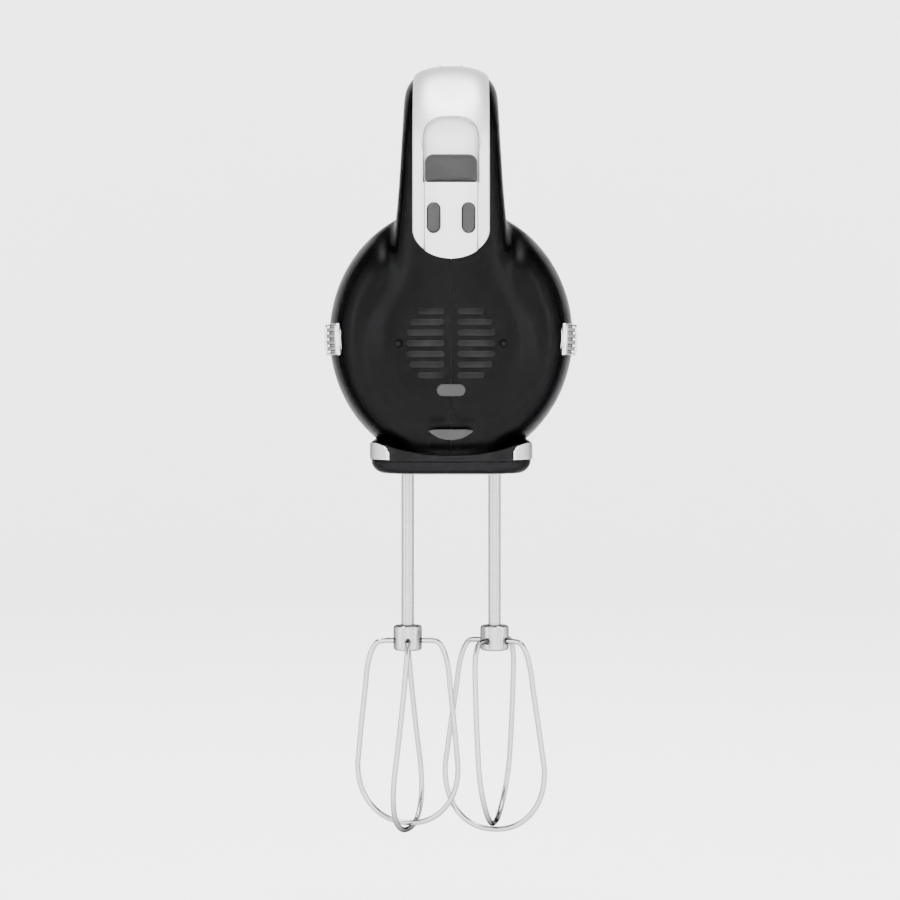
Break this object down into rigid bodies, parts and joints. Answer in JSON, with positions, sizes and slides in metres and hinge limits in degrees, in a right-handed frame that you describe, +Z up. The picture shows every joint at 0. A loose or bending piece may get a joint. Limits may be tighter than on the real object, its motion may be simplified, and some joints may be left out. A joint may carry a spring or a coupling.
{
  "type": "hand mixer",
  "caption": "Electric hand mixer: rounded two-part housing with looped handle, worm drive, speed slider, eject and turbo buttons, and wire balloon whisks.",
  "frame": {"origin": "on the flat outer face of the underside plate, midway between the two beater sockets", "axes": "+Z up, out of the top of the handle; +Y towards the nose; +X to the right seen from behind"},
  "size_m": [0.092, 0.1976, 0.2948],
  "materials": {
    "black_gloss": "glossy black moulding",
    "black_satin": "satin black moulding",
    "silver_satin": "satin silver",
    "chrome": "polished chrome plate",
    "steel": "polished stainless steel",
    "rubber": "soft grey rubber",
    "dark_plastic": "dark grey moulding",
    "copper": "enamelled copper wire",
    "lamination": "stacked steel sheets",
    "brass": "plain brass",
    "carbon": "pressed carbon",
    "nylon": "natural nylon",
    "board": "green circuit board",
    "smoked": "smoked window"
  },
  "bodies": {
    "housing": {"left_housing": "black_gloss", "right_housing": "black_gloss", "base_housing": "black_satin", "underside_plate": "silver_satin", "handle_strip": "silver_satin", "side_trim_left": "chrome", "side_trim_right": "chrome", "side_badge_left": "chrome", "side_badge_right": "chrome", "plate_screw_1": "steel", "plate_screw_2": "steel", "cord_gland": "rubber", "heel_foot_left": "rubber", "heel_foot_right": "rubber", "lower_rear_foot": "rubber", "rear_crescent_foot": "rubber", "plug_left": "rubber", "plug_right": "rubber", "cord_outlet_cover": "dark_plastic", "vent_screen": "dark_plastic", "speed_switch": "dark_plastic", "turbo_switch": "dark_plastic", "field_coil_upper": "copper", "field_coil_lower": "copper", "stator_core": "lamination", "brush_holder_left": "brass", "brush_holder_right": "brass", "rear_bearing": "brass", "gearbox_rear_bearing": "brass", "front_bearing": "brass", "brush_left": "carbon", "brush_right": "carbon", "rear_bracket": "nylon", "gearbox": "nylon", "display_board": "board", "control_board": "board", "display_window": "smoked"},
    "rotor": {"motor_shaft": "steel", "armature_core": "lamination", "armature_winding": "copper", "commutator": "copper", "cooling_fan": "nylon"},
    "left_spindle": {"spindle_left": "steel", "worm_wheel_left": "nylon"},
    "right_spindle": {"spindle_right": "steel", "worm_wheel_right": "nylon"},
    "left_beater": {"beater_shaft_left": "steel", "beater_collar_left": "steel", "whisk_loop_left_a": "steel", "whisk_loop_left_b": "steel"},
    "right_beater": {"beater_shaft_right": "steel", "beater_collar_right": "steel", "whisk_loop_right_a": "steel", "whisk_loop_right_b": "steel"},
    "slider": {"speed_slider": "chrome"},
    "turbo": {"turbo_button": "chrome"},
    "eject": {"eject_button": "dark_plastic", "eject_rod": "nylon"}
  },
  "joints": [
    {"name": "rotor_spin", "type": "hinge", "parent": "housing", "child": "rotor", "pos_m": [0, -0.047, 0.0502], "axis": [0, 1, 0], "continuous": true},
    {"name": "left_drive", "type": "hinge", "parent": "housing", "child": "left_spindle", "pos_m": [-0.0167, 0, 0.0502], "axis": [0, 0, 1], "continuous": true},
    {"name": "right_drive", "type": "hinge", "parent": "housing", "child": "right_spindle", "pos_m": [0.0167, 0, 0.0502], "axis": [0, 0, 1], "continuous": true},
    {"name": "left_beater_pull", "type": "slide", "parent": "left_spindle", "child": "left_beater", "axis": [0, 0, -1], "range_m": [0, 0.055]},
    {"name": "right_beater_pull", "type": "slide", "parent": "right_spindle", "child": "right_beater", "axis": [0, 0, -1], "range_m": [0, 0.055]},
    {"name": "speed_slide", "type": "slide", "parent": "housing", "child": "slider", "axis": [0, 0.9932, 0.1168], "range_m": [0, 0.016]},
    {"name": "turbo_press", "type": "slide", "parent": "housing", "child": "turbo", "axis": [0, -1, 0], "range_m": [0, 0.0022], "stiffness_N_per_m": 600, "springref_m": -0.001},
    {"name": "eject_press", "type": "slide", "parent": "housing", "child": "eject", "axis": [0, 0, -1], "range_m": [0, 0.006], "stiffness_N_per_m": 500, "springref_m": -0.002}
  ],
  "couplings": [
    {"joint": "left_drive", "follows": "rotor_spin", "ratio": -0.038462},
    {"joint": "right_drive", "follows": "rotor_spin", "ratio": 0.038462}
  ]
}
